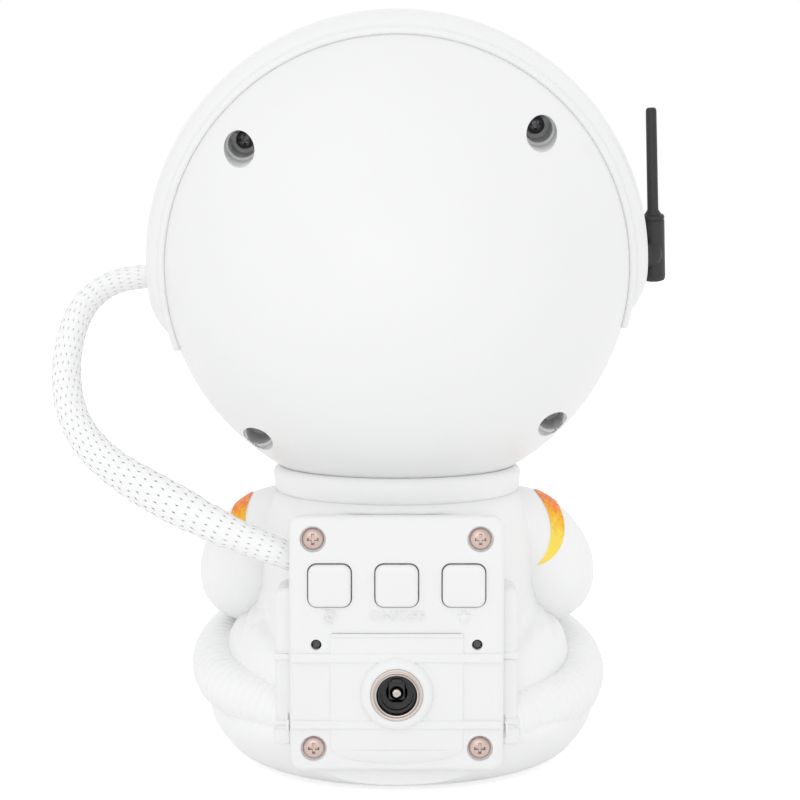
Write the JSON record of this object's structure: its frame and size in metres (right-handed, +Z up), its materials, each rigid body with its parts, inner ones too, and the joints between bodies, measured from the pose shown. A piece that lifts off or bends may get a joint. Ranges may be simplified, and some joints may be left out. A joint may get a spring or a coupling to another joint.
{
  "type": "planetarium projector",
  "caption": "Table-top star and nebula projector shaped as a seated astronaut, with a magnetic tilting helmet, antenna, air hose and a backpack of push buttons.",
  "frame": {"origin": "middle of the anti-slip pad's underside, on the table", "axes": "+Z up from the table; +Y where the figure faces; -Y the control backpack; +X the antenna ear"},
  "size_m": [0.1833, 0.1412, 0.2203],
  "materials": {
    "white_helmet": "smooth moulded white, soft gloss",
    "white_suit": "satin white moulding",
    "ribbed_white": "satin white, ribbed",
    "white_panel": "fine satin white",
    "white_button": "smooth white keys",
    "gold_paint": "metallic orange and gold paint",
    "copper_screw": "copper-tinted cross-recess screws",
    "dark_steel": "dark zinc",
    "black_plastic": "matte black",
    "black_satin": "satin black",
    "visor_tint": "dark glossy dome",
    "clear_lens": "clear acrylic",
    "nylon_gear": "natural nylon",
    "chassis_sheet": "black moulded plate",
    "aluminium": "bare aluminium",
    "lamp_phosphor": "yellow phosphor",
    "lamp_clear": "smoked lamp",
    "brass": "brass",
    "nickel": "nickel plate",
    "motor_can": "zinc-plated steel",
    "magnet_plating": "nickel-plated magnet",
    "circuit_board": "green solder mask",
    "dark_rubber": "soft rubber",
    "braided_sleeve": "braided white monofilament sleeve"
  },
  "bodies": {
    "base": {"magnet_cup": "black_satin", "neck_collar": "white_suit", "torso_back_shell": "white_suit", "torso_front_shell": "white_suit", "arms": "white_suit", "shoulder_bands": "gold_paint", "gloves": "white_suit", "legs": "ribbed_white", "boots": "white_suit", "chest_panel": "white_suit", "seat_shell": "white_suit", "base_cover": "white_suit", "base_screws": "dark_steel", "anti_slip_pad": "dark_rubber", "ballast": "motor_can", "pack_frame": "white_panel", "pack_panel": "white_panel", "panel_screws": "copper_screw", "tact_switches": "black_satin", "control_board": "circuit_board", "indicator_leds": "lamp_clear", "jack_body": "black_satin", "jack_ring": "nickel", "jack_pin": "brass", "hose_socket": "white_panel", "hose": "braided_sleeve"},
    "neck_swivel": {"neck_magnet": "magnet_plating"},
    "head": {"helmet_back_shell": "white_helmet", "helmet_front_shell": "white_helmet", "head_screws": "dark_steel", "headband_arch": "white_helmet", "visor_trim": "white_helmet", "visor": "visor_tint", "lens_bezel": "black_satin", "lens_barrel": "black_satin", "projection_lens": "clear_lens", "star_bezel": "black_satin", "star_window": "clear_lens", "laser_module": "brass", "chassis_plate": "chassis_sheet", "chassis_screws": "dark_steel", "heat_sink": "aluminium", "led_board": "aluminium", "led_emitter": "lamp_phosphor", "lens_tube": "black_satin", "condenser_lens": "clear_lens", "neck_plate": "motor_can", "disc_spindle": "dark_steel", "disc_clip": "dark_steel", "drive_motor": "motor_can", "hose_gland": "white_helmet"},
    "ripple_wheel": {"ripple_disc": "clear_lens", "ring_gear": "nylon_gear"},
    "motor_pinion": {"motor_pinion": "nylon_gear", "motor_shaft": "dark_steel"},
    "antenna": {"antenna_knob": "black_plastic", "antenna_rod": "black_plastic"},
    "button_nebula": {"button_nebula": "white_button"},
    "button_power": {"button_power": "white_button"},
    "button_star": {"button_star": "white_button"}
  },
  "joints": [
    {"name": "head_swivel", "type": "hinge", "parent": "base", "child": "neck_swivel", "pos_m": [0, 0, 0.1465], "axis": [0, 0, 1], "range_deg": [-35, 35], "deforming": ["hose"]},
    {"name": "head_tilt", "type": "hinge", "parent": "neck_swivel", "child": "head", "pos_m": [0, 0, 0.1465], "axis": [0.9987, 0, 0.0506], "range_deg": [-9, 20], "deforming": ["hose"]},
    {"name": "ripple_spin", "type": "hinge", "parent": "head", "child": "ripple_wheel", "pos_m": [-0.00124, 0.03361, 0.17096], "axis": [-0.0078, 0.988, 0.1545], "continuous": true},
    {"name": "pinion_spin", "type": "hinge", "parent": "head", "child": "motor_pinion", "pos_m": [0.03272, 0.03361, 0.17268], "axis": [-0.0078, 0.988, 0.1545], "continuous": true},
    {"name": "antenna_turn", "type": "hinge", "parent": "head", "child": "antenna", "pos_m": [0.07399, 0.01241, 0.14855], "axis": [0.9987, 0, 0.0506], "range_deg": [-90, 90]},
    {"name": "press_nebula", "type": "slide", "parent": "base", "child": "button_nebula", "axis": [0, 1, 0], "range_m": [0, 0.0008], "stiffness_N_per_m": 900, "springref_m": -0.0012},
    {"name": "press_power", "type": "slide", "parent": "base", "child": "button_power", "axis": [0, 1, 0], "range_m": [0, 0.0008], "stiffness_N_per_m": 900, "springref_m": -0.0012},
    {"name": "press_star", "type": "slide", "parent": "base", "child": "button_star", "axis": [0, 1, 0], "range_m": [0, 0.0008], "stiffness_N_per_m": 900, "springref_m": -0.0012}
  ],
  "couplings": [
    {"joint": "pinion_spin", "follows": "ripple_spin", "ratio": -4.6667}
  ]
}
